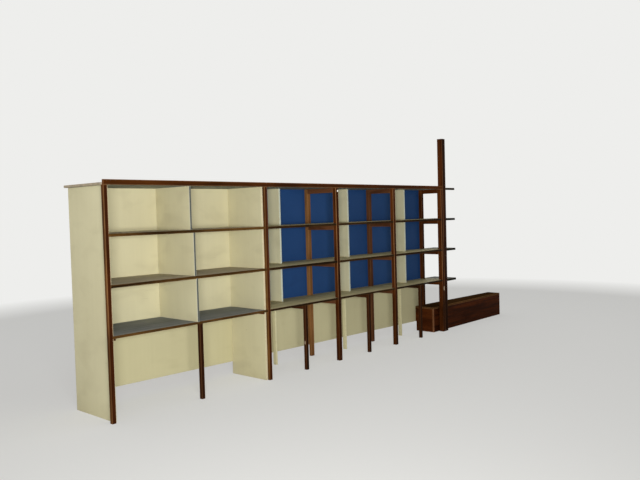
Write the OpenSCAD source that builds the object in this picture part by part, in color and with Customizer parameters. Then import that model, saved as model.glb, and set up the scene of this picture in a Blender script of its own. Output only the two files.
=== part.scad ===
// Built-in shop wall shelving: five bays of varnished timber frames and painted boards,
// cut to a wall that runs out of parallel with the shelving front.
// Millimetres. +X runs along the wall to the right, +Y goes back to the wall, +Z is up.
// Lengths along X are first measured from the unit's left end and along Y from the front faces
// of the posts. The finished unit is then moved so that the origin is at its bottom centre.

/* [Levels] */
// Height of the lowest shelf's top face
lower_shelf_top = 685; // [640:1:720]
// Height from one shelf's top face to the next
shelf_pitch = 402; // [360:1:420]
// Thickness of the shelf boards and of the top board
board_t = 20; // [16:1:25]
// Height of the fascia that stands up in front of the top board
fascia_h = 42; // [30:1:60]
// Height of the tall end post
tall_post_h = 2530; // [2300:10:2700]

/* [Bays] */
// Clear width of each of the two panelled bays on the left
panelled_bay_w = 806; // [700:1:900]
// Clear width of bay 3, the first of the open bays
bay_3_w = 1014; // [900:1:1100]
// Clear width of bay 4
bay_4_w = 1002; // [900:1:1100]
// Clear width of bay 5
bay_5_w = 1024; // [900:1:1100]
// Length of the boards past the tall end post
overhang = 221; // [100:1:400]

/* [Wall] */
// Depth of the unit at its left end
depth_left = 615; // [560:5:700]
// How much nearer the wall comes for each metre to the right
wall_slant = 52.8; // [0:0.1:55]
// Thickness of the back panels and of the lining below the lowest shelf
back_t = 9; // [6:1:12]
// Height of the cut-away behind the back posts and the box ends, and of the lining's lower edge
foot_cut_h = 125; // [60:1:150]
// Depth of that cut-away, measured from the wall
foot_cut_d = 20; // [12:1:22]

/* [Posts and rails] */
// Side of the square posts of the open frames
post_w = 45; // [38:1:50]
// Side of the square short legs, and width of the stiles beside the panels
leg_w = 35; // [30:1:38]
// Depth of the last frame's front post, which stands against the tall end post
end_frame_post_d = 60; // [45:1:60]
// Side of the square tall end post
tall_post_w = 74; // [60:1:80]
// Width of the eased arrises of posts, legs and edgings
arris = 3; // [1:0.5:4]
// Height of the cross rails under the boards
rail_h = 50; // [40:1:60]
// Height of the rails behind the short legs
leg_rail_h = 40; // [30:1:50]
// Width of the battens that carry the lowest board of the panelled bays
batten_w = 20; // [15:1:25]
// Height of those battens
batten_h = 20; // [15:1:40]
// Depth of the edging and of the fascia, from front to back
edging_d = 18; // [12:1:20]

/* [Panels] */
// Thickness of the end panel and of the partition panel
panel_t = 19; // [16:1:25]
// How far the front edges of those panels are set back
panel_setback = 28; // [22:1:34]
// Thickness of the divider boards between bays 1 and 2
divider_t = 20; // [16:1:25]
// How far the front edge of the upper divider is set back
upper_divider_setback = 60; // [20:1:80]
// How far the front edge of the middle divider is set back
middle_divider_setback = 20; // [18:1:60]
// How far the front edge of the lower divider is set back
lower_divider_setback = 0; // [0:1:40]
// How far the upright wall boards of bays 3 to 5 reach out from the wall
wall_board_reach = 180; // [100:1:200]
// Thickness of those wall boards and of the feet below them
wall_board_t = 20; // [16:1:25]
// Depth of those feet, from front to back
wall_foot_d = 43; // [30:1:48]
// How far the feet of bays 3, 4 and 5 reach out from the wall
wall_foot_reaches = [70, 105, 95]; // [70:1:150]

/* [End box] */
// How far the low box starts to the left of the tall end post
box_lead = 165; // [80:1:300]
// Length of the low box
box_l = 1840; // [1200:10:2000]
// Height of the low box, with its lid
box_h = 325; // [250:5:400]
// Thickness of the boards of the low box
box_board_t = 18; // [12:1:22]
// Width of each leg of the corner trim
trim_w = 12; // [8:1:30]
// Thickness of the corner trim
trim_t = 3; // [2:0.5:5]

/* [Hidden] */

VARNISH = [0.33, 0.17, 0.09];
SHELF = [0.36, 0.35, 0.31];
CREAM = [0.80, 0.75, 0.58];
BLUE = [0.13, 0.25, 0.44];
PALE_WOOD = [0.55, 0.36, 0.22];

// How far a cut runs on past the faces that it opens
cut_past = 1;

// Top faces of the lowest shelf, the middle shelf, the upper shelf and the top board
level_tops = [for (i = [0 : 3]) lower_shelf_top + i * shelf_pitch];
top_board_z = level_tops[3] - board_t;

// Places along X, from the unit's left end
end_panel_x = leg_w;
bay_1_x = end_panel_x + panel_t;
divider_x = bay_1_x + panelled_bay_w;
bay_2_x = divider_x + divider_t;
partition_x = bay_2_x + panelled_bay_w;
partition_stile_x = partition_x + panel_t;
bay_3_x = partition_stile_x + leg_w;
frame_1_x = bay_3_x + bay_3_w;
bay_4_x = frame_1_x + post_w;
frame_2_x = bay_4_x + bay_4_w;
bay_5_x = frame_2_x + post_w;
frame_3_x = bay_5_x + bay_5_w;
tall_post_x = frame_3_x + post_w;
overhang_x = tall_post_x + tall_post_w;
boards_end_x = overhang_x + overhang;
box_x = tall_post_x - box_lead;
unit_l = box_x + box_l;

// Left faces of the frames, the depths of their front posts and the middles of the open bays,
// from left to right
frame_xs = [frame_1_x, frame_2_x, frame_3_x];
front_post_ds = [post_w, post_w, end_frame_post_d];
bay_middles = [bay_3_x + bay_3_w / 2, bay_4_x + bay_4_w / 2, bay_5_x + bay_5_w / 2];

// Left faces of the wall boards, whose right faces are in line with the left faces of the short legs
wall_board_xs = [for (middle = bay_middles) middle - leg_w / 2 - wall_board_t];

// Depth of the unit at a place along X
function wall_y(x) = depth_left - wall_slant * x / 1000;

// Outline in plan of a piece that runs from the line y to a gap before the wall
function run_to_wall(x0, x1, y, gap = 0) = [
    [x0, y],
    [x1, y],
    [x1, wall_y(x1) - gap],
    [x0, wall_y(x0) - gap]
];

// Outline in plan of a piece that lies along the wall, between two distances from it
function along_wall(x0, x1, near, far) = [
    [x0, wall_y(x0) - far],
    [x1, wall_y(x1) - far],
    [x1, wall_y(x1) - near],
    [x0, wall_y(x0) - near]
];

// A plan outline raised from z0 to z1
module raise(z0, z1) {
    translate([0, 0, z0])
        linear_extrude(z1 - z0)
            children();
}

// A post with its four arrises eased, its front face on the front line
module eased_post(x, w, d, z1) {
    raise(0, z1)
        polygon([
            [x + arris, 0], [x + w - arris, 0],
            [x + w, arris], [x + w, d - arris],
            [x + w - arris, d], [x + arris, d],
            [x, d - arris], [x, arris]
        ]);
}

// A strip along X whose two front arrises are eased
module eased_strip(x0, x1, z0, h) {
    translate([x0, 0, z0])
        rotate([90, 0, 90])
            linear_extrude(x1 - x0)
                polygon([
                    [arris, 0], [edging_d, 0], [edging_d, h],
                    [arris, h], [0, h - arris], [0, arris]
                ]);
}

// Footprints of what the boards of the open bays are notched round
module front_post_footprints() {
    translate([partition_stile_x, 0])
        square(leg_w);
    for (i = [0 : 2])
        translate([frame_xs[i], 0])
            square([post_w, front_post_ds[i]]);
    translate([tall_post_x, 0])
        square(tall_post_w);
}

module back_post_footprint(x) {
    polygon(along_wall(x, x + post_w, back_t, back_t + post_w));
}

// A notch for a back post, cut out through a board's back edge
module back_post_notch(x) {
    polygon(along_wall(x, x + post_w, -cut_past, back_t + post_w));
}

module back_panel_footprint(x0, x1) {
    polygon(along_wall(x0, x1, 0, back_t));
}

// Outline of a board that stops at the back panels up to the last back post, and runs on
// beyond it to the wall
module stepped_outline(x0, x1, y, behind) {
    polygon([
        [x0, y], [x1, y], [x1, wall_y(x1)],
        [tall_post_x, wall_y(tall_post_x)], [tall_post_x, wall_y(tall_post_x) - behind],
        [x0, wall_y(x0) - behind]
    ]);
}

// Boards

module top_board() {
    color(SHELF)
        raise(top_board_z, level_tops[3])
            difference() {
                polygon(run_to_wall(0, boards_end_x, edging_d));
                translate([tall_post_x, 0])
                    square(tall_post_w);
            }
}

module top_fascia() {
    color(VARNISH) {
        eased_strip(0, tall_post_x, top_board_z, fascia_h);
        eased_strip(overhang_x, boards_end_x, top_board_z, board_t);
    }
}

// The board over bays 1 and 2, whose front corners pass before the panels' set-back edges
module left_shelf(level) {
    behind = level == 0 ? 0 : back_t;
    color(SHELF)
        raise(level_tops[level] - board_t, level_tops[level]) {
            polygon([
                [end_panel_x, edging_d],
                [partition_stile_x, edging_d],
                [partition_stile_x, panel_setback],
                [partition_x, panel_setback],
                [partition_x, wall_y(partition_x) - behind],
                [bay_1_x, wall_y(bay_1_x) - behind],
                [bay_1_x, panel_setback],
                [end_panel_x, panel_setback]
            ]);
        }
}

// The board over bays 3 to 5 and the overhang, notched round the front and back posts
module right_shelf(level) {
    color(SHELF)
        raise(level_tops[level] - board_t, level_tops[level])
            difference() {
                stepped_outline(partition_stile_x, boards_end_x, edging_d, level == 0 ? 0 : back_t);
                front_post_footprints();
                for (x = frame_xs)
                    back_post_notch(x);
            }
}

// The dark edging of one shelf, in the lengths between the posts
module edging(level) {
    starts = [end_panel_x, bay_3_x, bay_4_x, bay_5_x, overhang_x];
    ends = [partition_stile_x, frame_1_x, frame_2_x, frame_3_x, boards_end_x];
    color(VARNISH)
        for (i = [0 : len(starts) - 1])
            eased_strip(starts[i], ends[i], level_tops[level] - board_t, board_t);
}

// Panels of the left part

module upright_panel(x) {
    color(CREAM)
        raise(0, top_board_z)
            polygon(run_to_wall(x, x + panel_t, panel_setback));
}

module stile(x) {
    color(VARNISH)
        eased_post(x, leg_w, leg_w, top_board_z);
}

// Battens on the panels' inner faces, under the lowest shelf
module shelf_battens() {
    color(VARNISH)
        for (x = [bay_1_x, partition_x - batten_w])
            raise(level_tops[0] - board_t - batten_h, level_tops[0] - board_t)
                polygon(run_to_wall(x, x + batten_w, panel_setback, back_t));
}

// A divider board that stands on one shelf and reaches to the next board up
module divider(level, setback) {
    color(CREAM)
        raise(level_tops[level], level_tops[level + 1] - board_t)
            polygon(run_to_wall(divider_x, bay_2_x, setback, back_t));
}

module short_leg(x) {
    color(VARNISH)
        eased_post(x, leg_w, leg_w, level_tops[0] - board_t);
}

// The front leg under the lowest shelf, right beside the line of the dividers
module divider_leg() {
    short_leg(bay_2_x);
}

// Open frames

// The rails of one frame, under the three shelves and the top board
module cross_rails(x, w, front, back_gap) {
    color(VARNISH)
        for (level = [0 : 3])
            raise(level_tops[level] - board_t - rail_h, level_tops[level] - board_t)
                polygon(run_to_wall(x, x + w, front, back_gap));
}

module partition_rails() {
    cross_rails(partition_stile_x, leg_w, leg_w, back_t);
}

module frame_front_post(i) {
    color(VARNISH)
        eased_post(frame_xs[i], post_w, front_post_ds[i], top_board_z);
}

module tall_end_post() {
    color(VARNISH)
        eased_post(tall_post_x, tall_post_w, tall_post_w, tall_post_h);
}

// What is cut away behind the foot of a piece that starts at x and is w wide
module foot_cut(x, w) {
    raise(-cut_past, foot_cut_h)
        polygon(along_wall(x - cut_past, x + w + cut_past, -cut_past, foot_cut_d));
}

// A post against the back panels, cut away behind at its foot
module frame_back_post(i) {
    x = frame_xs[i];
    color(VARNISH)
        difference() {
            raise(0, top_board_z)
                back_post_footprint(x);
            foot_cut(x, post_w);
        }
}

module frame_rails(i) {
    cross_rails(frame_xs[i], post_w, front_post_ds[i], back_t + post_w);
}

// Supports in the middle of the open bays

module bay_leg(i) {
    short_leg(bay_middles[i] - leg_w / 2);
}

// The rails behind the short legs, which run on past the feet of the wall boards to the lining
module leg_rails() {
    color(VARNISH)
        for (middle = bay_middles)
            raise(level_tops[0] - board_t - leg_rail_h, level_tops[0] - board_t)
                polygon(run_to_wall(middle - leg_w / 2, middle + leg_w / 2, leg_w, back_t));
}

// Three upright boards, end on to the wall, between the boards of one bay
module bay_wall_boards(i) {
    x = wall_board_xs[i];
    color(CREAM)
        for (level = [0 : 2])
            raise(level_tops[level], level_tops[level + 1] - board_t)
                polygon(along_wall(x, x + wall_board_t, back_t, wall_board_reach));
}

// The feet below those boards, each against the side of a rail and clear of the lining
module wall_legs() {
    color(CREAM)
        for (i = [0 : 2]) {
            x = wall_board_xs[i];
            reach = wall_foot_reaches[i];
            raise(0, level_tops[0] - board_t)
                polygon(along_wall(x, x + wall_board_t, reach - wall_foot_d, reach));
        }
}

// Backs

module bay_back(x0, x1) {
    raise(level_tops[0], top_board_z)
        back_panel_footprint(x0, x1);
}

module bay_1_back() {
    color(CREAM)
        bay_back(bay_1_x, divider_x + divider_t / 2);
}

module bay_2_back() {
    color(CREAM)
        bay_back(divider_x + divider_t / 2, partition_x);
}

// A blue panel that meets its neighbours behind the middles of the back posts
module open_bay_back(i) {
    x0 = i == 0 ? partition_stile_x : frame_xs[i - 1] + post_w / 2;
    x1 = i == 2 ? tall_post_x : frame_xs[i] + post_w / 2;
    color(BLUE)
        bay_back(x0, x1);
}

// The lining on the wall below the lowest shelf, which stops above the floor
module lower_linings() {
    color(CREAM)
        raise(foot_cut_h, level_tops[0] - board_t) {
            back_panel_footprint(bay_1_x, partition_x);
            back_panel_footprint(partition_stile_x, tall_post_x);
        }
}

// The low box behind the tall end post

box_front_y = tall_post_w;
box_inner_y = box_front_y + box_board_t;
box_lid_z = box_h - box_board_t;

module box_front() {
    color(VARNISH)
        translate([box_x, box_front_y, 0])
            cube([box_l, box_board_t, box_lid_z]);
}

// An end of the box, cut away behind at its foot and run back to a gap before the wall
module box_end(x, gap) {
    color(VARNISH)
        difference() {
            raise(0, box_lid_z)
                polygon(run_to_wall(x, x + box_board_t, box_inner_y, gap));
            foot_cut(x, box_board_t);
        }
}

// The lid, notched round the back post and the end of the lining
module box_lid() {
    color(VARNISH)
        raise(box_lid_z, box_h)
            difference() {
                stepped_outline(box_x, unit_l, box_front_y, back_t);
                back_post_notch(frame_3_x);
            }
}

// An angle trim on the front left arris of the box
module box_corner_trim() {
    x = box_x - trim_t;
    y = box_front_y - trim_t;
    color(PALE_WOOD)
        raise(0, box_lid_z)
            polygon([
                [x, y], [x + trim_w, y], [x + trim_w, box_front_y],
                [box_x, box_front_y], [box_x, y + trim_w], [x, y + trim_w]
            ]);
}

// The whole unit is moved from its left front corner to its bottom centre
module placed() {
    translate([-unit_l / 2, -depth_left / 2, 0])
        children();
}

shelf_names = ["lower", "middle", "upper"];

placed() top_board();
placed() top_fascia();
for (level = [0 : 2]) {
    placed() left_shelf(level);
    placed() right_shelf(level);
    placed() edging(level);
}
placed() upright_panel(end_panel_x);  // left_end_panel
placed() stile(0);  // left_end_stile
placed() shelf_battens();
placed() divider(2, upper_divider_setback);  // upper_divider
placed() divider(1, middle_divider_setback);  // middle_divider
placed() divider(0, lower_divider_setback);  // lower_divider
placed() divider_leg();
placed() upright_panel(partition_x);  // partition_panel
placed() stile(partition_stile_x);  // partition_stile
placed() partition_rails();
for (i = [0 : 2]) {
    placed() frame_front_post(i);
    placed() frame_back_post(i);
    placed() frame_rails(i);
    placed() bay_leg(i);
    placed() bay_wall_boards(i);
    placed() open_bay_back(i);
}
placed() tall_end_post();
placed() leg_rails();
placed() wall_legs();
placed() bay_1_back();
placed() bay_2_back();
placed() lower_linings();
placed() box_front();
placed() box_end(box_x, back_t);  // box_left_end
placed() box_end(unit_l - box_board_t, 0);  // box_right_end
placed() box_lid();
placed() box_corner_trim();
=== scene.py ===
"""Looks of the built-in shop shelving: varnished timber, painted boards and worn shelf tops."""
import math

import bpy
import numpy as np
from mathutils import Matrix, Vector


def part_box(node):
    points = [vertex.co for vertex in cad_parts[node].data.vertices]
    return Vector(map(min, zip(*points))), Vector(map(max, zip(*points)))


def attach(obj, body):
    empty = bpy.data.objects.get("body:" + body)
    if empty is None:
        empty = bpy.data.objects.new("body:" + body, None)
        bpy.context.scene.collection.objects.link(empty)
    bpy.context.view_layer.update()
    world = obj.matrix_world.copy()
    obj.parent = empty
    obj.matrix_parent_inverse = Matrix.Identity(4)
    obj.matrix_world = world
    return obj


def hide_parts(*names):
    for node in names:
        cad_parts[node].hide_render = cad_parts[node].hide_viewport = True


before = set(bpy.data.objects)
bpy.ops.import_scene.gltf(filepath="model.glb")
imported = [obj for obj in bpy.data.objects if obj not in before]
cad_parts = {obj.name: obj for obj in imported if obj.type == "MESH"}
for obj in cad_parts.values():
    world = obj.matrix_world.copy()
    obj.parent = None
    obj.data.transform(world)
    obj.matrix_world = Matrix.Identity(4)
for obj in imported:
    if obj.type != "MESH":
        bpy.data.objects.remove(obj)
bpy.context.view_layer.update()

# Colours as they read in daylight, from 0 to 255
DEEP_VARNISH = (32, 13, 4)
WARM_VARNISH = (76, 36, 12)
# The two side colours below are the same varnishes made lighter on the left and right faces: painted
# light
LIT_SIDE_VARNISH = (104, 55, 22)
LIT_STILE_SIDE = (124, 88, 48)
LEG_DEEP = (24, 11, 5)
LEG_WARM = (60, 31, 14)
# The legs' side colour: the same varnish made lighter on the left and right faces, painted light
LIT_LEG_SIDE = (74, 40, 20)
FASCIA_DEEP = (38, 17, 4)
FASCIA_WARM = (88, 45, 13)
EDGING_DEEP = (24, 14, 5)
EDGING_WARM = (94, 64, 27)
# The stubs past the tall post: the shelf paint darkened on their edges and tops, as painted shade
STUB_SHADE = (28, 30, 23)
STUB_TOP_SHADE = (72, 70, 58)
PAINT_DAB = (252, 246, 236)
CHIPPED_WOOD = (196, 176, 150)
RAIL_DEEP = (62, 34, 20)
RAIL_WARM = (104, 66, 42)
THIN_DEEP = (80, 50, 27)
THIN_WARM = (146, 102, 60)
RUBBED_WOOD = (164, 120, 78)
LID_DEEP = (54, 34, 16)
LID_WARM = (84, 57, 30)
BOX_DEEP = (37, 15, 6)
BOX_WARM = (82, 38, 14)
# The box's side colour: the same varnish made lighter on the left and right faces, painted light
LIT_BOX_SIDE = (100, 52, 22)
TRIM_WOOD = (160, 112, 80)
CREAM = (214, 207, 170)
# The wall boards: the cream made lighter, as painted light
LIT_WALL_BOARD_CREAM = (224, 218, 180)
# The linings: the cream made darker, as painted shade low down
CREAM_LOW_SHADE = (202, 195, 155)
# The wall feet: the cream made lighter, as painted light
LIT_CREAM_FOOT = (228, 221, 178)
CREAM_DIRT = (158, 147, 112)
PALE_EDGE = (206, 196, 162)
GREY_EDGE = (198, 205, 190)
DARK_EDGE = (74, 75, 68)
WHITE_RUB = (214, 222, 220)
BLUE = (35, 70, 119)
BLUE_DEEP = (22, 40, 74)
RAW_BOARD = (158, 118, 80)
RAW_DEEP = (118, 86, 58)
SHELF_GREY = (176, 163, 139)
SHELF_DARK = (143, 132, 112)
SHELF_WORN = (198, 186, 164)
# The lowest left shelf: the same shelf paint made darker, as painted shade
SHADED_LOW_SHELF_GREY = (122, 126, 129)
SHADED_LOW_SHELF_DARK = (98, 102, 105)
SHADED_LOW_SHELF_WORN = (155, 156, 152)
# The right shelves: their grey-brown paint, made paler still as painted light
LIT_RIGHT_SHELF_GREY = (202, 190, 140)
LIT_RIGHT_SHELF_DARK = (170, 159, 115)
LIT_RIGHT_SHELF_WORN = (222, 212, 170)
# The shelves' undersides: the same paint made darker and greener, as painted shade
SHELF_UNDER_SHADE = (112, 118, 108)
FLOOR = (226, 225, 220)
BACKGROUND = (238, 238, 236)


def linear(colour):
    """The linear value of a colour given from 0 to 255 as a screen shows it.

    The screen's curve is a straight line in the darkest tones, and a power of 2.4 above them.
    """
    c = np.array(colour) / 255
    low = c / 12.92
    high = ((c + 0.055) / 1.055) ** 2.4
    return (*np.where(c < 0.04045, low, high).tolist(), 1.0)


# The camera, where the photograph was taken from

EYE = Vector((-6.069, -5.025, 1.6085))
EYE_YAW = math.radians(48.09)
EYE_PITCH = math.radians(-2.317)
EYE_ROLL = math.radians(-1.565)
LENS_MM = 38.01
SENSOR_MM = 36
FARTHEST_SIGHT = 100


def make_camera():
    """Looks along a yaw from +Y towards +X and a pitch, then rolls about its own line of sight."""
    ahead = Vector((
        math.sin(EYE_YAW) * math.cos(EYE_PITCH),
        math.cos(EYE_YAW) * math.cos(EYE_PITCH),
        math.sin(EYE_PITCH),
    ))
    level = Vector((math.cos(EYE_YAW), -math.sin(EYE_YAW), 0))
    upright = level.cross(ahead)
    right = level * math.cos(EYE_ROLL) + upright * math.sin(EYE_ROLL)
    up = upright * math.cos(EYE_ROLL) - level * math.sin(EYE_ROLL)
    data = bpy.data.cameras.new("camera")
    data.lens = LENS_MM
    data.sensor_width = SENSOR_MM
    data.clip_end = FARTHEST_SIGHT
    camera = bpy.data.objects.new("camera", data)
    turn = Matrix((right, up, -ahead)).transposed()
    camera.matrix_world = Matrix.Translation(EYE) @ turn.to_4x4()
    bpy.context.scene.collection.objects.link(camera)
    bpy.context.scene.camera = camera


make_camera()


# Places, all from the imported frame

FRAMES = (1, 2, 3)
PANELLED_BAYS = (1, 2)
OPEN_BAYS = (3, 4, 5)
SHELVES = ("lower", "middle", "upper")

left_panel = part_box("left_end_panel")
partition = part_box("partition_panel")
slant = (left_panel[1].y - partition[1].y) / (partition[0].x - left_panel[0].x)


def wall_y(x):
    """The wall's line, which comes nearer to the right at a constant slant."""
    return left_panel[1].y - slant * (x - left_panel[0].x)


def rectangle(u0, u1, v0, v1):
    """The four corners between two lines across one axis and two across the other."""
    return [(u0, v0), (u1, v0), (u1, v1), (u0, v1)]


def run_to_wall(x0, x1, y, gap):
    """The plan of a piece from a line square to the front to a gap before the wall."""
    return [(x0, y), (x1, y), (x1, wall_y(x1) - gap), (x0, wall_y(x0) - gap)]


def strip_plan(x0, x1, front, back):
    """The plan of a piece between two lines, each given as its distance before the wall."""
    return [
        (x0, wall_y(x0) - front),
        (x1, wall_y(x1) - front),
        (x1, wall_y(x1) - back),
        (x0, wall_y(x0) - back),
    ]


def plan_of(node, square_front=False):
    """A node's four plan corners. Its back follows the wall, and so does its front unless square."""
    low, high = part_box(node)
    gap = wall_y(low.x) - high.y
    if square_front:
        return run_to_wall(low.x, high.x, low.y, gap)
    return strip_plan(low.x, high.x, wall_y(high.x) - low.y, gap)


def wall_gaps(node, x0=-math.inf, x1=math.inf, below=math.inf):
    """The least and greatest distance before the wall of a node's points within the given limits."""
    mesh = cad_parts[node].data
    points = np.empty(len(mesh.vertices) * 3, np.float32)
    mesh.vertices.foreach_get("co", points)
    x, y, z = points.reshape(-1, 3).T
    gaps = (wall_y(x) - y)[(x > x0) & (x < x1) & (z < below)]
    return float(gaps.min()), float(gaps.max())


level_boxes = [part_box(name + "_shelf_left") for name in SHELVES] + [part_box("top_board")]
level_tops = [high.z for low, high in level_boxes]
board_t = level_boxes[0][1].z - level_boxes[0][0].z
level_unders = [z - board_t for z in level_tops]
board_front_y = level_boxes[0][0].y
boards_end_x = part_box("lower_shelf_right")[1].x
partition_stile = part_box("partition_stile")
front_posts = [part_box(f"frame_{number}_front_post") for number in FRAMES]
tall_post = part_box("tall_end_post")
back_posts = [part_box(f"frame_{number}_back_post") for number in FRAMES]
legs = [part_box(f"bay_{number}_leg") for number in OPEN_BAYS]
leg_w = legs[0][1].x - legs[0][0].x
wall_boards = [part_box(f"bay_{number}_wall_boards") for number in OPEN_BAYS]
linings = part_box("lower_linings")
back_t, post_reach = wall_gaps("frame_1_back_post")

# The back posts and the box ends are cut away behind their feet, up to the linings' lower edge
foot_cut_h = linings[0].z
foot_cut_d = wall_gaps("frame_1_back_post", below=foot_cut_h / 2)[0]


# Shapes

# Eased edges, in metres: the radius of an ease, and the flat hem beside it that keeps faces flat
BOARD_EASE = (0.0015, 0.0045)
SHEET_EASE = (0.0007, 0.0018)
TRIM_EASE = (0.0004, 0.0005)
# The larger radius of the edges along posts, legs and edgings
POST_ARRIS = 0.0030
ARC_SHARE = 1 - math.sqrt(0.5)
# The least distance between two points of an outline
LEAST_STEP = 0.0001
# Wear at the five points across an eased edge
EDGE_WEAR = (0.0, 0.7, 1.0, 0.7, 0.0)


def unit(vectors):
    """Each vector divided by its own length."""
    return vectors / np.linalg.norm(vectors, axis=-1, keepdims=True)


def inset(corners, distance):
    """Moves every side of an outline inwards by a distance, with mitred corners.

    A corner moves by the sum of its two sides' inward normals, times the distance over one plus
    their dot product.
    """
    along = unit(np.roll(corners, -1, 0) - corners)
    inward = np.stack([-along[:, 1], along[:, 0]], 1)
    before = np.roll(inward, 1, 0)
    share = distance / (1 + (inward * before).sum(1, keepdims=True))
    return corners + (inward + before) * share


def eased_outline(corners, ease, reach):
    """Turns each corner into five points: two along each side of it, and the middle of its arc.

    The arc's middle lies in from the corner along both sides, by the ease times one less the square
    root of a half.
    """
    back = unit(np.roll(corners, 1, 0) - corners)
    on = unit(np.roll(corners, -1, 0) - corners)
    steps = [back * reach, back * ease, (back + on) * ease * ARC_SHARE, on * ease, on * reach]
    return (corners[:, None] + np.stack(steps, 1)).reshape(-1, 2)


def eased_prism(corners, low, high, edge=BOARD_EASE, arris=None):
    """An outline raised from low to high whose every edge is eased.

    Ten rings of the outline are stacked, five at each end. From the end on, two lie in its plane,
    one is the middle of a quarter circle and two lie in the sides. A face closes each end. The
    edges from end to end may have a larger radius, the arris. Returns points, quads, end faces and
    edge wear.
    """
    corners = np.array(corners, float)
    ease, hem = edge
    arris = arris or ease
    steps = np.array([0, 0, ease * ARC_SHARE, ease, ease + hem])
    heights = np.concatenate([low + steps, high - steps[::-1]])
    insets = np.concatenate([steps[::-1], steps])
    rings = []
    for distance, z in zip(insets, heights):
        corner_ease = max(arris - distance, LEAST_STEP)
        reach = max(arris + hem - distance, 2 * LEAST_STEP)
        outline = eased_outline(inset(corners, distance), corner_ease, reach)
        rings.append(np.column_stack([outline, np.full(len(outline), z)]))
    around = len(rings[0])
    wear = np.maximum.outer(np.tile(EDGE_WEAR, 2), np.tile(EDGE_WEAR, len(corners)))
    wear[[0, -1]] = 0.0
    ring, place = np.meshgrid(np.arange(len(rings) - 1), np.arange(around), indexing="ij")
    here = ring * around + place
    beside = ring * around + (place + 1) % around
    quads = np.stack([here, beside, beside + around, here + around], -1).reshape(-1, 4)
    bottom = np.arange(around)[::-1]
    top = np.arange(around) + (len(rings) - 1) * around
    return np.concatenate(rings), quads, [bottom, top], wear.ravel()


def along_x(profile, x0, x1, arris=None):
    """A profile of (y, z) points carried along X."""
    points, quads, ends, wear = eased_prism(profile, x0, x1, arris=arris)
    return points[:, [2, 0, 1]], quads, ends, wear


def lean_with_wall(solid, x0, square_front=False):
    """Shears a solid made square to the front so that its back follows the wall from x0 on.

    Its front leans too, unless it is to stay square: then the shear grows from front to back.
    """
    points, quads, ends, wear = solid
    leaned = points.copy()
    y = points[:, 1]
    share = (y - y.min()) / np.ptp(y) if square_front else 1.0
    leaned[:, 1] -= slant * (points[:, 0] - x0) * share
    return leaned, quads, ends, wear


def notched_outline(x0, x1, front, front_notches=(), back_notches=(), behind=0.0, corner=None):
    """A board's plan from a straight front to the wall.

    Each notch is given by the box of the post that it goes round, and posts that touch share one
    stepped notch. The board stops a gap before the wall up to the last back notch and meets the wall
    beyond it. A corner post cuts its start.
    """
    outline = [(corner[1].x, front) if corner else (x0, front)]
    for low, high in front_notches:
        if abs(outline[-1][0] - low.x) < LEAST_STEP:
            outline.pop()
        else:
            outline.append((low.x, front))
        outline += [(low.x, high.y), (high.x, high.y), (high.x, front)]
    outline += [(x1, front), (x1, wall_y(x1))]
    gap = 0.0 if back_notches else behind
    for low, high in reversed(back_notches):
        outline += [(high.x, wall_y(high.x) - gap), (high.x, wall_y(high.x) - post_reach)]
        outline += [(low.x, wall_y(low.x) - post_reach), (low.x, wall_y(low.x) - behind)]
        gap = behind
    outline.append((x0, wall_y(x0) - behind))
    if corner:
        outline += [(x0, corner[1].y), (corner[1].x, corner[1].y)]
    return outline


# Pieces

# The axes in the order in which the grain reads them: along the board first
GRAIN_ORDER = {"x": [0, 1, 2], "y": [1, 0, 2], "z": [2, 1, 0]}
# How far a board's own step in the grain may reach along each axis, in metres
GRAIN_REACH = 40
random = np.random.default_rng(7)


def make_piece(name, solids, finish, grain, node):
    """Joins solids into one mesh that carries each board's grain line, tone and edge wear.

    The grain attribute is the place measured along the board first, plus a step of the board's own.
    """
    starts = np.cumsum([0] + [len(solid[0]) for solid in solids])
    points = np.concatenate([solid[0] for solid in solids])
    faces = []
    for start, (_, quads, ends, _) in zip(starts, solids):
        faces += (quads + start).tolist()
        faces += [(end + start).tolist() for end in ends]
    mesh = bpy.data.meshes.new(name)
    mesh.from_pydata(points.tolist(), [], faces)
    mesh.polygons.foreach_set("use_smooth", np.ones(len(faces), bool))
    order = GRAIN_ORDER[grain]
    lines = [solid[0][:, order] + random.uniform(0, GRAIN_REACH, 3) for solid in solids]
    tones = [np.full(len(solid[0]), random.uniform(-1, 1)) for solid in solids]
    values = {
        "grain": ("FLOAT_VECTOR", "vector", np.concatenate(lines)),
        "tone": ("FLOAT", "value", np.concatenate(tones)),
        "wear": ("FLOAT", "value", np.concatenate([solid[3] for solid in solids])),
    }
    for key, (kind, field, data) in values.items():
        attribute = mesh.attributes.new(key, kind, "POINT")
        attribute.data.foreach_set(field, data.astype(np.float32).ravel())
    mesh.materials.append(finish)
    piece = bpy.data.objects.new(name, mesh)
    bpy.context.scene.collection.objects.link(piece)
    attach(piece, "root")
    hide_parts(node)


# Shader helpers

# How squarely a surface has to face along an axis to start to count, and to count in full
FACING_SPAN = (0.6, 0.8)
# The span that most of a noise pattern's values lie in
NOISE_SPAN = (0.3, 0.7)


def add(tree, kind, inputs=None, **settings):
    """Adds a shader node. An input is given a value, or joined to another node's socket."""
    made = tree.nodes.new(kind)
    for key, value in settings.items():
        setattr(made, key, value)
    for key, value in (inputs or {}).items():
        if isinstance(value, bpy.types.NodeSocket):
            tree.links.new(value, made.inputs[key])
        else:
            made.inputs[key].default_value = value
    return made


def carried(tree, name, output="Fac"):
    """A value that the mesh carries."""
    return add(tree, "ShaderNodeAttribute", attribute_name=name).outputs[output]


def object_place(tree):
    """The place along the unit's own axes."""
    return add(tree, "ShaderNodeTexCoord").outputs["Object"]


def part_of(tree, vector, axis):
    return add(tree, "ShaderNodeSeparateXYZ", {0: vector}).outputs[axis]


def length_of(tree, vector):
    return add(tree, "ShaderNodeVectorMath", {0: vector}, operation="LENGTH").outputs["Value"]


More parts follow.
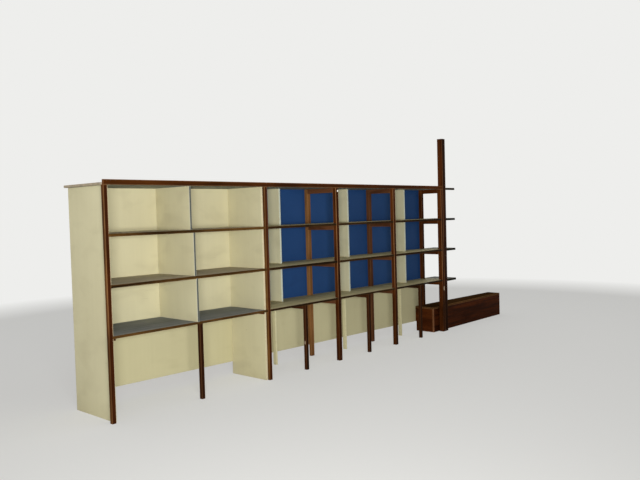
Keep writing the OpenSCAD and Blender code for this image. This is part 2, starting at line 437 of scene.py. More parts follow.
def noise(tree, vector, detail, rough, scale=1.0, distortion=0.0, stretch=None, turn=(0, 0, 0)):
    """Noise from 0 to 1 over a vector, which may first be stretched along its axes and turned."""
    if stretch:
        mapping = {"Vector": vector, "Scale": stretch, "Rotation": turn}
        vector = add(tree, "ShaderNodeMapping", mapping).outputs[0]
    pattern = {
        "Vector": vector,
        "Scale": scale,
        "Detail": detail,
        "Roughness": rough,
        "Distortion": distortion,
    }
    return add(tree, "ShaderNodeTexNoise", pattern).outputs[0]


def remap(tree, value, span, values=(0.0, 1.0)):
    """Carries a value over from one span to another, and holds it at their ends."""
    inputs = {0: value, 1: span[0], 2: span[1], 3: values[0], 4: values[1]}
    return add(tree, "ShaderNodeMapRange", inputs).outputs[0]


def reckon(tree, operation, a, b):
    """One step of arithmetic on two values, each a number or another node's socket."""
    return add(tree, "ShaderNodeMath", {0: a, 1: b}, operation=operation).outputs[0]


def product(tree, a, b):
    return reckon(tree, "MULTIPLY", a, b)


def total(tree, a, b):
    return reckon(tree, "ADD", a, b)


def mix(tree, share, a, b):
    """Mixes two colours, each from 0 to 255 or another node's socket."""
    a, b = [c if isinstance(c, bpy.types.NodeSocket) else linear(c) for c in (a, b)]
    return add(tree, "ShaderNodeMix", {0: share, 6: a, 7: b}, data_type="RGBA").outputs[2]


def marked(tree, colour, other, pattern, mark):
    """Lays another colour over the high places of a pattern.

    A mark says from which level of the pattern it shows, from which it is full, and its share there.
    """
    start, full, share = mark
    return mix(tree, remap(tree, pattern, (start, full), (0.0, share)), colour, other)


def by_place(tree, axis, span, values=(0.0, 1.0)):
    """Passes from one value to another between two places along an axis of the unit."""
    return remap(tree, part_of(tree, object_place(tree), axis), span, values)


def facing(tree, axis, sign):
    """1 where a surface faces one way along an axis of the unit, and 0 elsewhere."""
    normal = add(tree, "ShaderNodeTexCoord").outputs["Normal"]
    return remap(tree, product(tree, part_of(tree, normal, axis), float(sign)), FACING_SPAN)


def new_finish(name, **constants):
    """A material with one Principled shader whose constants are set on its own sockets."""
    finish = bpy.data.materials.new(name)
    finish.use_nodes = True
    shader = finish.node_tree.nodes["Principled BSDF"]
    for socket, value in constants.items():
        shader.inputs[socket.replace("_", " ")].default_value = value
    return finish, finish.node_tree, shader


def close_finish(tree, shader, colour, rough, height, strength, distance):
    """Joins the finished colour, roughness and relief to the shader."""
    bump = add(tree, "ShaderNodeBump", {"Height": height, "Strength": strength, "Distance": distance})
    tree.links.new(colour, shader.inputs["Base Color"])
    tree.links.new(rough, shader.inputs["Roughness"])
    tree.links.new(bump.outputs[0], shader.inputs["Normal"])


# Varnished timber

GLOSS_TINT = (1.0, 0.72, 0.5, 1.0)
GLOSS_LEVEL = 0.012
COAT_WEIGHT = 0.02
COAT_ROUGHNESS = 0.25
VARNISH_ROUGHNESS = (0.38, 0.56)
VARNISH_RELIEF = {"strength": 0.25, "distance": 0.0006}

# Patterns along the grain, per metre
TIMBER_STREAKS = {"stretch": (1.3, 34, 34), "detail": 6.0, "rough": 0.62, "distortion": 0.3}
TIMBER_BANDS = {"stretch": (0.5, 11, 11), "detail": 2.0, "rough": 0.5, "distortion": 0.8}
TIMBER_PORES = {"stretch": (16, 480, 480), "detail": 2.0, "rough": 0.6}
TIMBER_PATCHES = {"stretch": (2.2, 9, 9), "detail": 2.0, "rough": 0.5, "distortion": 0.6}
PORE_MARK = (0.60, 0.72, 0.55)
PATCH_MARK = (0.46, 0.66, 0.60)

# The figure is made of streaks and bands, and each board's tone shifts it
STREAK_SHARE = 0.65
BAND_SHARE = 0.35
TONE_SHARE = 0.08
FIGURE_SPAN = (0.36, 0.66)

# The levels of the streaks between which the arrises are rubbed by half and in full
RUBBED_STREAKS = (0.40, 0.60)
# Metres past the lowest shelf over which the rubbing fades out, and over which the painted shade
# darkens the timber
LOW_RUB_FADE = 0.05
LOW_SHADE_FADE = 0.25
# How much darker an edging is past the line that it is darker from
DARKER_SHARE = 0.72
# Length in metres over which a colour passes into the next at a line across the unit
LINE_FADE = 0.01
# Distances from a spot's middle, in its half sizes, between which it starts to show and is full
SPOT_FADE = (1.1, 0.8)


def beyond(tree, x):
    """1 to the right of a line across the unit, and 0 to its left."""
    return by_place(tree, "X", (x - LINE_FADE, x))


def oval_spot(tree, middle, half):
    """1 within an oval around a place, by its half size along each axis, and 0 elsewhere."""
    centred = {
        "Vector": object_place(tree),
        "Location": [-place / reach for place, reach in zip(middle, half)],
        "Scale": [1 / reach for reach in half],
    }
    moved = add(tree, "ShaderNodeMapping", centred).outputs[0]
    return remap(tree, length_of(tree, moved), SPOT_FADE)


def timber_colour(tree, grain, streaks, pores, deep, warm, side):
    """The figure from deep to warm, or from warm to side on the left and right as painted light, under
    dark marks.
    """
    bands = noise(tree, grain, **TIMBER_BANDS)
    patches = noise(tree, grain, **TIMBER_PATCHES)
    figure = total(tree, product(tree, streaks, STREAK_SHARE), product(tree, bands, BAND_SHARE))
    tone = product(tree, carried(tree, "tone"), TONE_SHARE)
    share = remap(tree, total(tree, figure, tone), FIGURE_SPAN)
    # Painted light: the left and right faces take the lighter side colour
    sides = total(tree, facing(tree, "X", -1), facing(tree, "X", 1))
    colour = mix(tree, sides, mix(tree, share, deep, warm), mix(tree, share, warm, side))
    colour = marked(tree, colour, deep, pores, PORE_MARK)
    return marked(tree, colour, deep, patches, PATCH_MARK)


def varnished_timber(
    name,
    deep=DEEP_VARNISH,
    warm=WARM_VARNISH,
    side=LIT_SIDE_VARNISH,
    gloss=1.0,
    rubbed=0.3,
    low_rub=1.0,
    low_dark=0.0,
    darker_from=None,
    stub=None,
    spot=None,
):
    """Red-brown varnish over straight-grained softwood, sides lighter as painted light, rubbed on
    arrises.

    Broad dark patches run along each board. Below the lowest shelf, low_rub is the share of the
    rubbing that is left, and low_dark how far the timber darkens with painted shade. It may also be
    darker from a line on, and past the tall post it may have a dark colour of its own, which is
    painted shade. A spot is a colour with the middle and the half size of the oval that it fills.
    """
    finish, tree, shader = new_finish(
        name,
        Specular_Tint=GLOSS_TINT,
        Specular_IOR_Level=GLOSS_LEVEL * gloss,
        Coat_Weight=COAT_WEIGHT * gloss,
        Coat_Roughness=COAT_ROUGHNESS,
    )
    grain = carried(tree, "grain", "Vector")
    streaks = noise(tree, grain, **TIMBER_STREAKS)
    pores = noise(tree, grain, **TIMBER_PORES)
    colour = timber_colour(tree, grain, streaks, pores, deep, warm, side)
    # Painted shade: the timber darkens below the lowest shelf
    if low_dark:
        fade = (level_tops[0], level_unders[0] - LOW_SHADE_FADE)
        colour = mix(tree, by_place(tree, "Z", fade, (0.0, low_dark)), colour, deep)
    if darker_from is not None:
        colour = mix(tree, product(tree, beyond(tree, darker_from), DARKER_SHARE), colour, deep)
    # Painted shade: past the tall post the timber takes the dark stub colour
    if stub:
        colour = mix(tree, beyond(tree, tall_post[1].x), colour, stub)
    rubbing = remap(tree, streaks, RUBBED_STREAKS, (rubbed / 2, rubbed))
    worn = product(tree, carried(tree, "wear"), rubbing)
    if low_rub < 1:
        fade = (level_unders[0] - LOW_RUB_FADE, level_tops[0] + LOW_RUB_FADE)
        worn = product(tree, worn, by_place(tree, "Z", fade, (low_rub, 1.0)))
    colour = mix(tree, worn, colour, RUBBED_WOOD)
    if spot:
        spot_colour, middle, half = spot
        colour = mix(tree, oval_spot(tree, middle, half), colour, spot_colour)
    rough = remap(tree, streaks, NOISE_SPAN, VARNISH_ROUGHNESS)
    relief = total(tree, streaks, pores)
    close_finish(tree, shader, colour, rough, relief, **VARNISH_RELIEF)
    return finish


def post_timber(name, **more):
    """The front posts' varnish, rubbed strongly above the lowest shelf and hardly below it; the pale
    arrises are partly real wear and partly a painted highlight.
    """
    return varnished_timber(name, rubbed=0.85, low_rub=0.15, **more)


def leg_timber(name, **more):
    """The short legs' varnish, darker and hardly rubbed."""
    return varnished_timber(name, LEG_DEEP, LEG_WARM, LIT_LEG_SIDE, rubbed=0.15, **more)


# Painted boards

PAINT_GLOSS = 0.1
PAINT_ROUGHNESS = (0.42, 0.56)
PAINT_RELIEF = {"strength": 0.06, "distance": 0.0004}

# Patterns on the paint, per metre
PAINT_CLOUDS = {"scale": 1.7, "detail": 2.0, "rough": 0.5}
ROLLER_STREAKS = {"stretch": (26, 26, 1.1), "detail": 3.0, "rough": 0.6}
STIPPLE = {"scale": 420, "detail": 2.0, "rough": 0.6}
SCUFFS = {
    "stretch": (5, 5, 46),
    "turn": (0.35, 0.2, 0.0),
    "detail": 4.0,
    "rough": 0.7,
    "distortion": 0.4,
}
SMUDGES = {
    "stretch": (3.5, 3.5, 6),
    "turn": (0.0, 0.5, 0.3),
    "detail": 2.0,
    "rough": 0.5,
    "distortion": 0.3,
}
CLOUD_MARK = (0.35, 0.70, 0.16)
ROLLER_MARK = (0.40, 0.72, 0.05)
SCUFF_MARK = (0.66, 0.76, 0.35)
SMUDGE_MARK = (0.55, 0.74, 0.16)
RAW_MARK = (0.30, 0.70, 0.50)

# Dirt near the floor: its height in metres, and its share between two levels of the clouds
DIRT_H = 0.16
DIRT_CLOUDS = (0.25, 0.75)
DIRT_SHARES = (0.05, 0.30)
# How far the edges are rubbed: to the wood between two levels of the scuffs, or evenly to white
RUBBED_SCUFFS = (0.50, 0.66)
WOOD_RUB_SHARE = 0.6
WHITE_RUB_SHARE = 0.3
# How far a raw back darkens from the palest board to the darkest one
RAW_TONE_SHARE = 0.7


def painted_board(name, body, dirt=CREAM_DIRT, edge=None, white_rub=False):
    """Eggshell paint with faint roller streaks, smudges, scuffs, dirt near the floor and a raw back.

    Where an edge colour is given, the faces towards the front are the board's own edge. The edges are
    rubbed to the wood where the scuffs are, or else evenly to white, except towards the right.
    """
    finish, tree, shader = new_finish(name, Specular_IOR_Level=PAINT_GLOSS)
    place = object_place(tree)
    clouds = noise(tree, place, **PAINT_CLOUDS)
    rolled = noise(tree, place, **ROLLER_STREAKS)
    stipple = noise(tree, place, **STIPPLE)
    scuffs = noise(tree, place, **SCUFFS)
    smudges = noise(tree, place, **SMUDGES)
    colour = marked(tree, body, dirt, clouds, CLOUD_MARK)
    colour = marked(tree, colour, dirt, rolled, ROLLER_MARK)
    colour = marked(tree, colour, dirt, scuffs, SCUFF_MARK)
    colour = marked(tree, colour, dirt, smudges, SMUDGE_MARK)
    low = by_place(tree, "Z", (DIRT_H, 0.0))
    splashed = product(tree, low, remap(tree, clouds, DIRT_CLOUDS, DIRT_SHARES))
    colour = mix(tree, splashed, colour, dirt)
    if edge:
        colour = mix(tree, facing(tree, "Y", -1), colour, edge)
    wear = carried(tree, "wear")
    if white_rub:
        not_right = reckon(tree, "SUBTRACT", 1.0, facing(tree, "X", 1))
        worn = product(tree, product(tree, wear, WHITE_RUB_SHARE), not_right)
        colour = mix(tree, worn, colour, WHITE_RUB)
    else:
        worn = product(tree, wear, remap(tree, scuffs, RUBBED_SCUFFS, (0.0, WOOD_RUB_SHARE)))
        colour = mix(tree, worn, colour, RUBBED_WOOD)
    tone = remap(tree, carried(tree, "tone"), (-1.0, 1.0), (0.0, RAW_TONE_SHARE))
    raw = marked(tree, mix(tree, tone, RAW_BOARD, RAW_DEEP), RAW_DEEP, rolled, RAW_MARK)
    colour = mix(tree, facing(tree, "Y", 1), colour, raw)
    rough = remap(tree, clouds, NOISE_SPAN, PAINT_ROUGHNESS)
    relief = total(tree, rolled, stipple)
    close_finish(tree, shader, colour, rough, relief, **PAINT_RELIEF)
    return finish


# Shelf paint

SHELF_GLOSS = 0.12
SHELF_ROUGHNESS = (0.46, 0.66)
SHELF_RELIEF = {"strength": 0.15, "distance": 0.0005}

# Patterns on the shelves, per metre
SHELF_STREAKS = {"stretch": (1.0, 20, 20), "detail": 5.0, "rough": 0.65, "distortion": 0.3}
SHELF_DUST = {"scale": 3.2, "detail": 3.0, "rough": 0.6, "distortion": 0.5}
SCRATCHES = {"stretch": (4, 130, 130), "turn": (0, 0, 0.12), "detail": 3.0, "rough": 0.7}
DUST_MARK = (0.48, 0.72, 0.45)
SCRATCH_MARK = (0.64, 0.74, 0.50)
UNDER_MARK = (0.30, 0.70, 0.30)
# The levels of the streaks between which the paint passes from dark to grey
SHELF_STREAK_SPAN = (0.35, 0.68)

# The rubbed strip: how far behind the front it starts to show and is full, and its share
STRIP_DEPTHS = (0.045, 0.012)
STRIP_SHARE = 0.6
# How far the edges are rubbed between two levels of the streaks
RUBBED_SHELF_STREAKS = (0.40, 0.65)
SHELF_RUB_SHARES = (0.1, 0.8)


def shelf_paint(name, dark, grey, pale):
    """Worn grey-brown paint: long streaks, scratches, dust and a rubbed strip along the front."""
    finish, tree, shader = new_finish(name, Specular_IOR_Level=SHELF_GLOSS)
    place = object_place(tree)
    streaks = noise(tree, carried(tree, "grain", "Vector"), **SHELF_STREAKS)
    dust = noise(tree, place, **SHELF_DUST)
    scratches = noise(tree, place, **SCRATCHES)
    colour = mix(tree, remap(tree, streaks, SHELF_STREAK_SPAN), dark, grey)
    colour = marked(tree, colour, pale, dust, DUST_MARK)
    colour = marked(tree, colour, pale, scratches, SCRATCH_MARK)
    strip = [board_front_y + depth for depth in STRIP_DEPTHS]
    colour = mix(tree, by_place(tree, "Y", strip, (0.0, STRIP_SHARE)), colour, pale)
    # Painted shade: past the tall post the paint takes the dark stub top colour
    colour = mix(tree, beyond(tree, tall_post[1].x), colour, STUB_TOP_SHADE)
    # Painted shade: the faces turned down take the darker underside colour
    under = marked(tree, SHELF_UNDER_SHADE, dark, streaks, UNDER_MARK)
    colour = mix(tree, facing(tree, "Z", -1), colour, under)
    rubbed = remap(tree, streaks, RUBBED_SHELF_STREAKS, SHELF_RUB_SHARES)
    colour = mix(tree, product(tree, carried(tree, "wear"), rubbed), colour, RUBBED_WOOD)
    rough = remap(tree, dust, NOISE_SPAN, SHELF_ROUGHNESS)
    relief = total(tree, streaks, scratches)
    close_finish(tree, shader, colour, rough, relief, **SHELF_RELIEF)
    return finish


# Spots on the timber, in metres: the half size along each axis, and the place on the post or leg
DAB_HALF = (0.011, 0.011, 0.011)
DAB_FROM_RIGHT = 0.012
DAB_BELOW_TOP_BOARD = 0.034
CHIP_HALF = (0.010, 0.010, 0.030)
CHIP_FROM_RIGHT = 0.010
CHIP_BELOW_SHELF = 0.095
KNOCK_HALF = (0.006, 0.006, 0.020)
KNOCK_HEIGHT = 0.28


def front_spot(colour, post, from_right, z, half):
    """A spot on a post's front, at a distance from its right side."""
    return colour, (post[1].x - from_right, post[0].y, z), half


def left_spot(colour, post, z, half):
    """A spot in the middle of a post's left side."""
    return colour, (post[0].x, (post[0].y + post[1].y) / 2, z), half


dab_z = level_unders[3] - DAB_BELOW_TOP_BOARD
dab = front_spot(PAINT_DAB, front_posts[0], DAB_FROM_RIGHT, dab_z, DAB_HALF)
chip_z = level_unders[0] - CHIP_BELOW_SHELF
chip = front_spot(CHIPPED_WOOD, front_posts[2], CHIP_FROM_RIGHT, chip_z, CHIP_HALF)
knock = left_spot(CHIPPED_WOOD, legs[0], KNOCK_HEIGHT, KNOCK_HALF)

varnish = varnished_timber("varnished_timber")
post_varnish = post_timber("post_timber", low_dark=0.4)
dabbed_varnish = post_timber("dabbed_post_timber", spot=dab)
chipped_varnish = post_timber("chipped_post_timber", low_dark=0.4, spot=chip)
tall_varnish = varnished_timber("tall_post_timber", low_dark=0.6)
stile_varnish = varnished_timber("stile_timber", side=LIT_STILE_SIDE, rubbed=0.5, low_rub=0.3)
fascia_varnish = varnished_timber(
    "fascia_timber", FASCIA_DEEP, FASCIA_WARM, FASCIA_WARM, rubbed=0.4, stub=STUB_SHADE
)
leg_varnish = leg_timber("leg_timber")
knocked_varnish = leg_timber("knocked_leg_timber", spot=knock)
edging_varnish = varnished_timber(
    "edging_timber",
    EDGING_DEEP,
    EDGING_WARM,
    EDGING_WARM,
    rubbed=0.12,
    darker_from=partition_stile[0].x,
    stub=STUB_SHADE,
)
rail_varnish = varnished_timber("rail_timber", RAIL_DEEP, RAIL_WARM, RAIL_WARM)
thin_varnish = varnished_timber("thinly_varnished_timber", THIN_DEEP, THIN_WARM, THIN_WARM)
box_varnish = varnished_timber("box_timber", BOX_DEEP, BOX_WARM, LIT_BOX_SIDE, rubbed=0.6)
lid_varnish = varnished_timber("dull_lid_timber", LID_DEEP, LID_WARM, LID_WARM, rubbed=0.7, gloss=0.0)
trim_finish = varnished_timber("rubbed_trim", WARM_VARNISH, TRIM_WOOD, TRIM_WOOD, rubbed=0.6)
cream = painted_board("cream_board", CREAM)
# Painted shade: the linings have a darker copy of the cream
cream_low_shade = painted_board("shaded_cream_lining", CREAM_LOW_SHADE)
# Painted light: the wall feet have a lighter copy of the cream
lit_cream_foot = painted_board("lit_cream_foot", LIT_CREAM_FOOT)
cream_dark_edge = painted_board("cream_board_dark_edge", CREAM, edge=DARK_EDGE, white_rub=True)
cream_pale_edge = painted_board("cream_board_pale_edge", CREAM, edge=PALE_EDGE)
# Painted light: the wall boards have a lighter copy of the cream
cream_grey_edge = painted_board("cream_board_grey_edge", LIT_WALL_BOARD_CREAM, edge=GREY_EDGE)
blue = painted_board("blue_board", BLUE, BLUE_DEEP)
shelf_finish = shelf_paint("shelf_paint", SHELF_DARK, SHELF_GREY, SHELF_WORN)
# Painted shade: the lowest left shelf has a darker copy of the shelf paint
shaded_low_shelf_finish = shelf_paint("shaded_low_shelf_paint", SHADED_LOW_SHELF_DARK, SHADED_LOW_SHELF_GREY, SHADED_LOW_SHELF_WORN)
# Painted light: the right shelves have a paler copy of the shelf paint
lit_right_shelf_finish = shelf_paint(
    "lit_right_shelf_paint", LIT_RIGHT_SHELF_DARK, LIT_RIGHT_SHELF_GREY, LIT_RIGHT_SHELF_WORN
)


# Posts, legs and rails

POST_FINISHES = {
    "left_end_stile": stile_varnish,
    "partition_stile": stile_varnish,
    "frame_1_front_post": dabbed_varnish,
    "frame_2_front_post": post_varnish,
    "frame_3_front_post": chipped_varnish,
    "tall_end_post": tall_varnish,
    "divider_leg": leg_varnish,
    "bay_3_leg": knocked_varnish,
    "bay_4_leg": leg_varnish,
    "bay_5_leg": leg_varnish,
}
BACK_POST_FINISHES = (thin_varnish, rail_varnish, varnish)
RAIL_FINISHES = {
    "partition_rails": rail_varnish,
    "frame_1_rails": rail_varnish,
    "frame_2_rails": rail_varnish,
    "frame_3_rails": varnish,
}
BATTEN_W = 0.020


def foot_cut_side(x, front, gap, top):
    """The (y, z) points of a side from its front to a gap before the wall, cut away behind its foot."""
    y = wall_y(x)
    return [
        (front, 0),
        (y - foot_cut_d, 0),
        (y - foot_cut_d, foot_cut_h),
        (y - gap, foot_cut_h),
        (y - gap, top),
        (front, top),
    ]


def under_boards(plan, height, undersides):
    """Pieces of one plan and height, one up against each underside."""
    return [eased_prism(plan, z - height, z) for z in undersides]


def make_posts_and_legs():
    """Each post or leg is the rectangle of its plan raised to its height, with larger arrises."""
    for node, finish in POST_FINISHES.items():
        low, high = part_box(node)
        post = eased_prism(rectangle(low.x, high.x, low.y, high.y), low.z, high.z, arris=POST_ARRIS)
        make_piece(node + "_timber", [post], finish, "z", node)


def make_back_posts():
    """Each back post is its side view carried along X, and leans with the wall front and back."""
    for number, (low, high), finish in zip(FRAMES, back_posts, BACK_POST_FINISHES):
        side = foot_cut_side(low.x, wall_y(low.x) - post_reach, back_t, high.z)
        post = lean_with_wall(along_x(side, low.x, high.x), low.x)
        node = f"frame_{number}_back_post"
        make_piece(node + "_timber", [post], finish, "z", node)


def make_wall_feet():
    """Each foot is a strip along the wall under a bay's wall boards, as high as the bay's leg."""
    feet = []
    for board, leg in zip(wall_boards, legs):
        back, front = wall_gaps("wall_legs", board[0].x - leg_w, board[1].x + leg_w)
        plan = strip_plan(board[0].x, board[1].x, front, back)
        feet.append(eased_prism(plan, leg[0].z, leg[1].z))
    make_piece("wall_leg_boards", feet, lit_cream_foot, "z", "wall_legs")


def make_rails():
    """Each rail is square at the front and cut to the wall, and one lies under each board."""
    for node, finish in RAIL_FINISHES.items():
        height = level_unders[0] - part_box(node)[0].z
        rails = under_boards(plan_of(node, square_front=True), height, level_unders)
        make_piece(node + "_timber", rails, finish, "y", node)


def make_leg_rails():
    """Each rail runs from behind a leg to the wall under the lowest board."""
    low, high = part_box("leg_rails")
    rails = []
    for leg in legs:
        plan = run_to_wall(leg[0].x, leg[1].x, low.y, back_t)
        rails += under_boards(plan, high.z - low.z, level_unders[:1])
    make_piece("leg_rails_timber", rails, leg_varnish, "y", "leg_rails")


def make_battens():
    """Two battens run to the wall under the lowest board, one at each end of the panelled bays."""
    low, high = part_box("shelf_battens")
    battens = []
    for x in (low.x, high.x - BATTEN_W):
        plan = run_to_wall(x, x + BATTEN_W, low.y, back_t)
        battens += under_boards(plan, high.z - low.z, level_unders[:1])
    make_piece("shelf_battens_timber", battens, varnish, "y", "shelf_battens")


# Shelf boards and their edgings

# How far the edgings hang below their boards, in the bays and past the tall post
EDGING_LIP = 0.004
STUB_LIP = 0.008


def left_shelf_outline(low, high):
    """The board's front corners pass before the set-back edges of the two panels."""
    inner = (left_panel[1].x, partition[0].x)
    behind = wall_y(inner[0]) - high.y
    panel_front = left_panel[0].y
    return [
        (low.x, low.y),
        (high.x, low.y),
        (high.x, panel_front),
        (inner[1], panel_front),
        (inner[1], wall_y(inner[1]) - behind),
        (inner[0], wall_y(inner[0]) - behind),
        (inner[0], panel_front),
        (low.x, panel_front),
    ]


def right_shelf_outline(low, high):
    """The board starts round the partition's stile, and goes round the posts at its front and back."""
    behind = wall_y(low.x) - high.y
    in_front = front_posts + [tall_post]
    return notched_outline(low.x, high.x, low.y, in_front, back_posts, behind, partition_stile)


def make_shelves():
    """Each board is the outline of its plan raised by its thickness."""
    for name in SHELVES:
        node = name + "_shelf_left"
        low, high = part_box(node)
        board = eased_prism(left_shelf_outline(low, high), low.z, high.z)
        finish = shaded_low_shelf_finish if name == "lower" else shelf_finish
        make_piece(node + "_board", [board], finish, "x", node)
        node = name + "_shelf_right"
        low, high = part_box(node)
        board = eased_prism(right_shelf_outline(low, high), low.z, high.z)
        make_piece(node + "_board", [board], lit_right_shelf_finish, "x", node)
    low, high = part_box("top_board")
    board = eased_prism(notched_outline(low.x, high.x, low.y, [tall_post]), low.z, high.z)
    make_piece("top_board_panel", [board], shelf_finish, "x", "top_board")


def make_edgings():
    """Each edging is a strip whose front arrises are eased, in lengths between the posts.

    Where no leg stands under it, it hangs below its board as a small lip.
    """
    left_posts = [partition_stile] + front_posts[:2] + [tall_post]
    right_posts = [partition_stile] + front_posts
    starts = [left_panel[0].x] + [high.x for low, high in left_posts]
    ends = [low.x for low, high in right_posts] + [boards_end_x]
    for name in SHELVES:
        low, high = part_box(name + "_edging")
        bay_lip = 0.0 if name == "lower" else EDGING_LIP
        lips = [bay_lip] * (len(starts) - 1) + [STUB_LIP]
        strips = [
            along_x(rectangle(low.y, high.y, low.z - lip, high.z), x0, x1, POST_ARRIS)
            for x0, x1, lip in zip(starts, ends, lips)
        ]
        make_piece(name + "_edging_timber", strips, edging_varnish, "x", name + "_edging")


def make_fascia():
    """The fascia stands up before the top board, and is as low as an edging past the tall post."""
    low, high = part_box("top_fascia")
    fascia = rectangle(low.y, high.y, low.z, high.z)
    stub = rectangle(low.y, high.y, low.z - STUB_LIP, level_tops[3])
    strips = [
        along_x(fascia, low.x, tall_post[0].x, POST_ARRIS),
        along_x(stub, tall_post[1].x, high.x, POST_ARRIS),
    ]
    make_piece("top_fascia_timber", strips, fascia_varnish, "x", "top_fascia")


# Panels, dividers, wall boards and backs

PANEL_FINISHES = {
    "left_end_panel": cream_pale_edge,
    "partition_panel": cream_pale_edge,
    "upper_divider": cream_dark_edge,
    "middle_divider": cream_dark_edge,
    "lower_divider": cream_dark_edge,
}


def make_panels():
    """Each panel is square at the front and cut to the wall, raised to its height."""
    for node, finish in PANEL_FINISHES.items():
        low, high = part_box(node)
        panel = eased_prism(plan_of(node, square_front=True), low.z, high.z)
        make_piece(node + "_board", [panel], finish, "z", node)


def make_wall_boards():
    """Each bay's boards are strips along the wall that stand on a shelf and reach the board above."""
    for number in OPEN_BAYS:
        node = f"bay_{number}_wall_boards"
        plan = plan_of(node)
        boards = [eased_prism(plan, foot, head) for foot, head in zip(level_tops, level_unders[1:])]
        make_piece(node + "_dressed", boards, cream_grey_edge, "z", node)


def make_backs():
    """Each back is a thin sheet along the wall, cream in the panelled bays and blue in the open."""
    for number in PANELLED_BAYS + OPEN_BAYS:
        node = f"bay_{number}_back"
        low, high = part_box(node)
        sheet = eased_prism(plan_of(node), low.z, high.z, SHEET_EASE)
        finish, slot = (cream, "cream_paint") if number in PANELLED_BAYS else (blue, "blue_paint")
        make_piece(node + "_sheet", [sheet], finish, "z", node)


def make_linings():
    """Two thin sheets along the wall, one on each side of the partition."""
    low, high = linings
    sheets = [
        eased_prism(strip_plan(x0, x1, back_t, 0), low.z, high.z, SHEET_EASE)
        for x0, x1 in [(low.x, partition[0].x), (partition[1].x, high.x)]
    ]
    make_piece("lower_lining_sheets", sheets, cream_low_shade, "z", "lower_linings")


# The low box

def make_box():
    """The front and the ends are profiles carried along X, and the lid is its outline raised."""
    low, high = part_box("box_front")
    front = along_x(rectangle(low.y, high.y, low.z, high.z), low.x, high.x)
    make_piece("box_front_board", [front], box_varnish, "x", "box_front")
    for node in ("box_left_end", "box_right_end"):
        low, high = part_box(node)
        side = foot_cut_side(low.x, low.y, wall_y(low.x) - high.y, high.z)
        end = lean_with_wall(along_x(side, low.x, high.x), low.x, square_front=True)
        make_piece(node + "_board", [end], box_varnish, "y", node)
    low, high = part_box("box_lid")
    outline = notched_outline(low.x, high.x, low.y, back_notches=back_posts[2:], behind=back_t)
    lid = eased_prism(outline, low.z, high.z)
    make_piece("box_lid_board", [lid], lid_varnish, "x", "box_lid")


def make_corner_trim():
    """An angle round the box's front left corner."""
    low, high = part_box("box_corner_trim")
    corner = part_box("box_front")[0]
    outline = [
        (low.x, low.y),
        (high.x, low.y),
        (high.x, corner.y),
        (corner.x, corner.y),
        (corner.x, high.y),
        (low.x, high.y),
    ]
    trim = eased_prism(outline, low.z, high.z, TRIM_EASE)
    make_piece("box_corner_trim_strip", [trim], trim_finish, "z", "box_corner_trim")


# The floor, the background and the lights

FLOOR_HALF = 40.0
# Distances from the unit's middle between which the floor passes into the background
FLOOR_FADE = (4.5, 8.5)
# The background's share in the floor near the unit, as the camera sees it
FLOOR_SHARE = 0.45
FLOOR_ROUGHNESS = 0.9
FLOOR_GLOSS = 0.2
# The strength of the light from all round, where 1 looks white
FILL_LEVEL = 0.32
WHITE = (1, 1, 1, 1)
# The spread of a lamp without a grid, in degrees
OPEN_SPREAD = 180


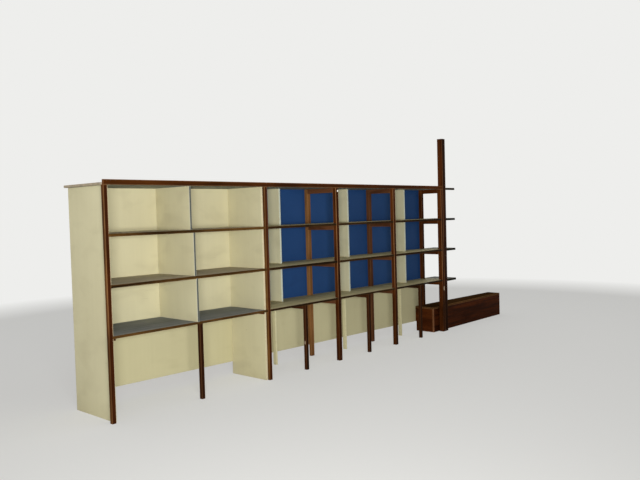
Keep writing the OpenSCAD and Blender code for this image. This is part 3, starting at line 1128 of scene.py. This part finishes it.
def make_floor():
    """A plain pale floor that keeps the shadows and passes into the background far away."""
    mesh = bpy.data.meshes.new("floor")
    corners = [(x, y, 0) for x, y in rectangle(-FLOOR_HALF, FLOOR_HALF, -FLOOR_HALF, FLOOR_HALF)]
    mesh.from_pydata(corners, [], [(0, 1, 2, 3)])
    finish, tree, shader = new_finish(
        "floor", Base_Color=linear(FLOOR), Roughness=FLOOR_ROUGHNESS, Specular_IOR_Level=FLOOR_GLOSS
    )
    distance = length_of(tree, object_place(tree))
    far = add(tree, "ShaderNodeEmission", {0: linear(BACKGROUND), 1: 1.0}).outputs[0]
    seen = product(tree, add(tree, "ShaderNodeLightPath").outputs["Is Camera Ray"], FLOOR_SHARE)
    share = reckon(tree, "MAXIMUM", remap(tree, distance, FLOOR_FADE), seen)
    faded = add(tree, "ShaderNodeMixShader", {0: share, 1: shader.outputs[0], 2: far}).outputs[0]
    tree.links.new(faded, tree.nodes["Material Output"].inputs["Surface"])
    mesh.materials.append(finish)
    floor = bpy.data.objects.new("floor", mesh)
    bpy.context.scene.collection.objects.link(floor)


def make_background():
    """Even pale surroundings as the camera and reflections see them, and a softer light on all else."""
    world = bpy.data.worlds.new("studio")
    world.use_nodes = True
    bpy.context.scene.world = world
    tree = world.node_tree
    rays = add(tree, "ShaderNodeLightPath").outputs
    seen = reckon(tree, "MAXIMUM", rays["Is Camera Ray"], rays["Is Glossy Ray"])
    seen = reckon(tree, "MAXIMUM", seen, rays["Is Transmission Ray"])
    light = tree.nodes["Background"]
    light.inputs[0].default_value = WHITE
    light.inputs[1].default_value = FILL_LEVEL
    shown = add(tree, "ShaderNodeBackground", {0: linear(BACKGROUND), 1: 1.0})
    both = add(tree, "ShaderNodeMixShader", {0: seen, 1: light.outputs[0], 2: shown.outputs[0]})
    tree.links.new(both.outputs[0], tree.nodes["World Output"].inputs["Surface"])


def make_lamp(name, place, aim, size, watts, spread=OPEN_SPREAD):
    """A soft lamp that looks from its place to a point, through a grid that holds in its spread."""
    data = bpy.data.lights.new(name, "AREA")
    data.spread = math.radians(spread)
    data.shape = "RECTANGLE"
    data.size, data.size_y = size
    data.energy = watts
    lamp = bpy.data.objects.new(name, data)
    turn = (Vector(aim) - Vector(place)).to_track_quat("-Z", "Y").to_matrix().to_4x4()
    lamp.matrix_world = Matrix.Translation(place) @ turn
    bpy.context.scene.collection.objects.link(lamp)


# The whole unit and its surroundings

make_posts_and_legs()
make_back_posts()
make_wall_feet()
make_rails()
make_leg_rails()
make_battens()
make_shelves()
make_edgings()
make_fascia()
make_panels()
make_wall_boards()
make_backs()
make_linings()
make_box()
make_corner_trim()
make_floor()
make_background()
make_lamp("key", place=(-5.8, -5.2, 1.5), aim=(-1.5, 0.2, 1.2), size=(2.0, 0.8), watts=125, spread=112)
make_lamp("overhead", place=(0.5, -2.2, 4.2), aim=(0.5, 0.0, 0.8), size=(6.0, 2.0), watts=30)
bpy.context.scene.view_settings.view_transform = "Standard"
